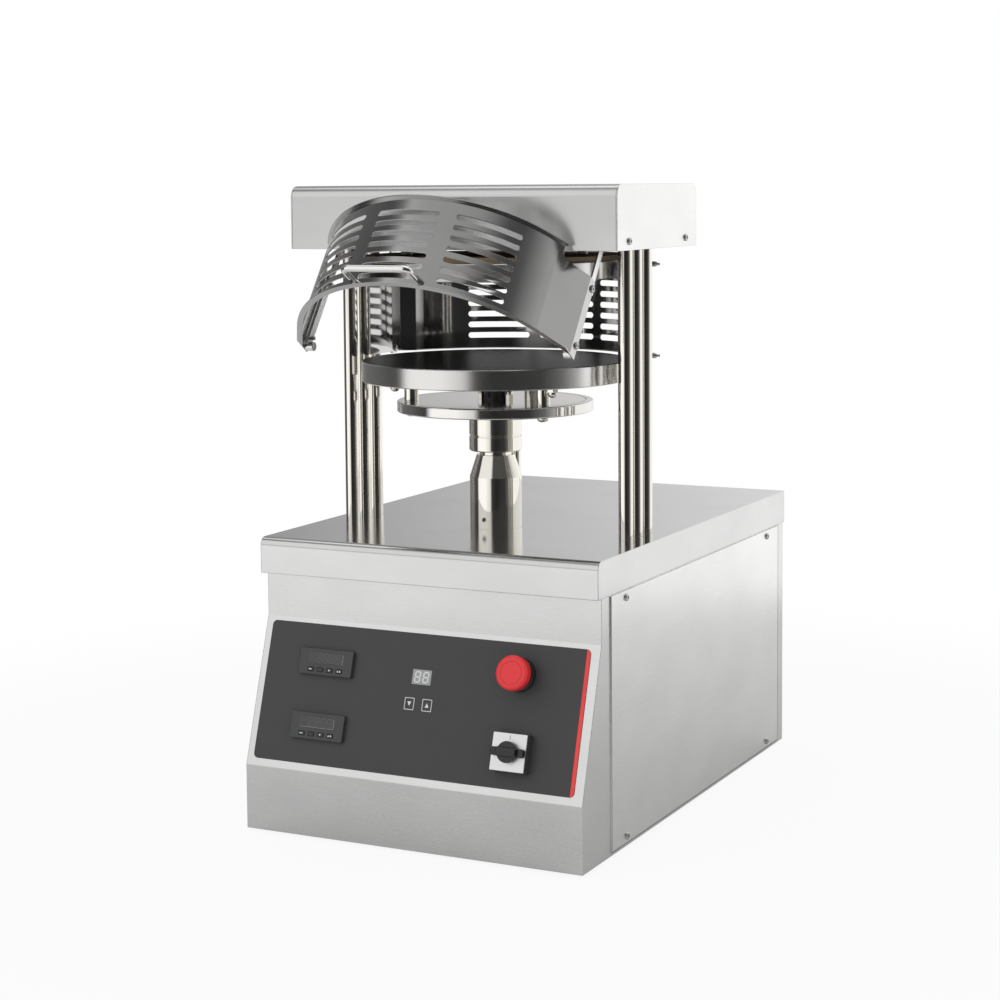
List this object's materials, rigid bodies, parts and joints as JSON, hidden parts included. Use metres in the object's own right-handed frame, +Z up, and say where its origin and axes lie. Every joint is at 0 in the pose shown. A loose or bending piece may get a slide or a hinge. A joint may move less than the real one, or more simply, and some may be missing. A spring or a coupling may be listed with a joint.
{
  "type": "pizza dough press",
  "caption": "Countertop heated press for pizza bases: a round platen rises on a ram between polished columns under a fixed platen, behind a swing-up slotted guard.",
  "frame": {"origin": "on the surface the feet stand on, under the middle of the whole press", "axes": "+Z up, -Y towards the user and the control panel, +X to the user's right"},
  "size_m": [0.4578, 0.7658, 0.7852],
  "materials": {
    "stainless": "brushed",
    "chrome": "polished",
    "steel": "machined",
    "aluminium": "turned",
    "insulation": "pressed board",
    "bronze": "machined",
    "rubber": "matte",
    "motor_paint": "semi-gloss",
    "black_plastic": "fine texture",
    "grey_plastic": "matte",
    "overlay": "matte printed",
    "window": "gloss",
    "red_plastic": "gloss",
    "key_rubber": "matte"
  },
  "bodies": {
    "base": {"floor_pan": "stainless", "feet": "rubber", "front_fascia": "stainless", "rear_panel": "stainless", "side_cover_left": "stainless", "side_cover_right": "stainless", "fixing_screws": "steel", "worktop_cover": "stainless", "frame_plate": "steel", "frame_legs": "steel", "columns": "chrome", "column_nuts": "steel", "crosshead": "steel", "head_cover": "stainless", "head_end_plates": "stainless", "upper_platen": "aluminium", "insulation_disc": "insulation", "hanger_studs": "steel", "guide_bush": "chrome", "thrust_bearing": "steel", "drive_belt": "rubber", "motor": "motor_paint", "motor_bracket": "steel", "electrical_box": "grey_plastic", "inlet_gland": "black_plastic", "control_overlay": "overlay", "upper_controller": "black_plastic", "lower_controller": "black_plastic", "display_windows": "window", "estop_collar": "black_plastic", "switch_base": "black_plastic", "switch_plate": "aluminium", "guard_pivots": "steel", "rear_guard": "stainless", "rear_guard_arms": "stainless"},
    "ram": {"ram_shaft": "chrome", "ram_collar": "chrome", "support_disc": "chrome", "guide_rod": "steel", "platen_standoffs": "chrome", "platen_nuts": "chrome", "ram_nut": "steel", "lower_platen": "aluminium"},
    "guard": {"guard_sheet": "stainless", "guard_arms": "stainless", "guard_screws": "steel", "guard_handle": "chrome"},
    "drive_nut": {"drive_nut": "bronze"},
    "motor_pulley": {"motor_pulley": "steel"},
    "estop_plunger": {"estop_plunger": "grey_plastic"},
    "estop_head": {"estop_head": "red_plastic"},
    "switch_knob": {"switch_knob": "black_plastic"},
    "upper_key_1": {"upper_key_1": "key_rubber"},
    "upper_key_2": {"upper_key_2": "key_rubber"},
    "upper_key_3": {"upper_key_3": "key_rubber"},
    "upper_key_4": {"upper_key_4": "key_rubber"},
    "lower_key_1": {"lower_key_1": "key_rubber"},
    "lower_key_2": {"lower_key_2": "key_rubber"},
    "lower_key_3": {"lower_key_3": "key_rubber"},
    "lower_key_4": {"lower_key_4": "key_rubber"}
  },
  "joints": [
    {"name": "nut_turn", "type": "hinge", "parent": "base", "child": "drive_nut", "pos_m": [0, -0.07772, 0.226], "axis": [0, 0, 1], "range_deg": [0, 3680]},
    {"name": "ram_lift", "type": "slide", "parent": "base", "child": "ram", "axis": [0, 0, 1], "range_m": [0, 0.102]},
    {"name": "pulley_turn", "type": "hinge", "parent": "base", "child": "motor_pulley", "pos_m": [0, 0.10028, 0.226], "axis": [0, 0, 1], "range_deg": [0, 5898]},
    {"name": "guard_swing", "type": "hinge", "parent": "base", "child": "guard", "pos_m": [0, -0.14292, 0.7177], "axis": [1, 0, 0], "range_deg": [0, 35.5]},
    {"name": "estop_push", "type": "slide", "parent": "base", "child": "estop_plunger", "axis": [0, 0.9527, -0.304], "range_m": [0, 0.005], "stiffness_N_per_m": 1500, "springref_m": -0.001},
    {"name": "estop_twist", "type": "hinge", "parent": "estop_plunger", "child": "estop_head", "pos_m": [0.1275, -0.28616, 0.22177], "axis": [0, 0.9527, -0.304], "range_deg": [0, 45], "stiffness_Nm_per_rad": 0.05},
    {"name": "switch_turn", "type": "hinge", "parent": "base", "child": "switch_knob", "pos_m": [0.131, -0.31295, 0.13584], "axis": [0, 0.9527, -0.304], "range_deg": [0, 90]},
    {"name": "upper_key_1_press", "type": "slide", "parent": "base", "child": "upper_key_1", "axis": [0, 0.9527, -0.304], "range_m": [0, 0.0006], "stiffness_N_per_m": 800, "springref_m": -0.0003},
    {"name": "upper_key_2_press", "type": "slide", "parent": "base", "child": "upper_key_2", "axis": [0, 0.9527, -0.304], "range_m": [0, 0.0006], "stiffness_N_per_m": 800, "springref_m": -0.0003},
    {"name": "upper_key_3_press", "type": "slide", "parent": "base", "child": "upper_key_3", "axis": [0, 0.9527, -0.304], "range_m": [0, 0.0006], "stiffness_N_per_m": 800, "springref_m": -0.0003},
    {"name": "upper_key_4_press", "type": "slide", "parent": "base", "child": "upper_key_4", "axis": [0, 0.9527, -0.304], "range_m": [0, 0.0006], "stiffness_N_per_m": 800, "springref_m": -0.0003},
    {"name": "lower_key_1_press", "type": "slide", "parent": "base", "child": "lower_key_1", "axis": [0, 0.9527, -0.304], "range_m": [0, 0.0006], "stiffness_N_per_m": 800, "springref_m": -0.0003},
    {"name": "lower_key_2_press", "type": "slide", "parent": "base", "child": "lower_key_2", "axis": [0, 0.9527, -0.304], "range_m": [0, 0.0006], "stiffness_N_per_m": 800, "springref_m": -0.0003},
    {"name": "lower_key_3_press", "type": "slide", "parent": "base", "child": "lower_key_3", "axis": [0, 0.9527, -0.304], "range_m": [0, 0.0006], "stiffness_N_per_m": 800, "springref_m": -0.0003},
    {"name": "lower_key_4_press", "type": "slide", "parent": "base", "child": "lower_key_4", "axis": [0, 0.9527, -0.304], "range_m": [0, 0.0006], "stiffness_N_per_m": 800, "springref_m": -0.0003}
  ],
  "couplings": [
    {"joint": "nut_turn", "follows": "ram_lift", "rad_per_m": 628.32},
    {"joint": "pulley_turn", "follows": "ram_lift", "rad_per_m": 1005.3}
  ]
}
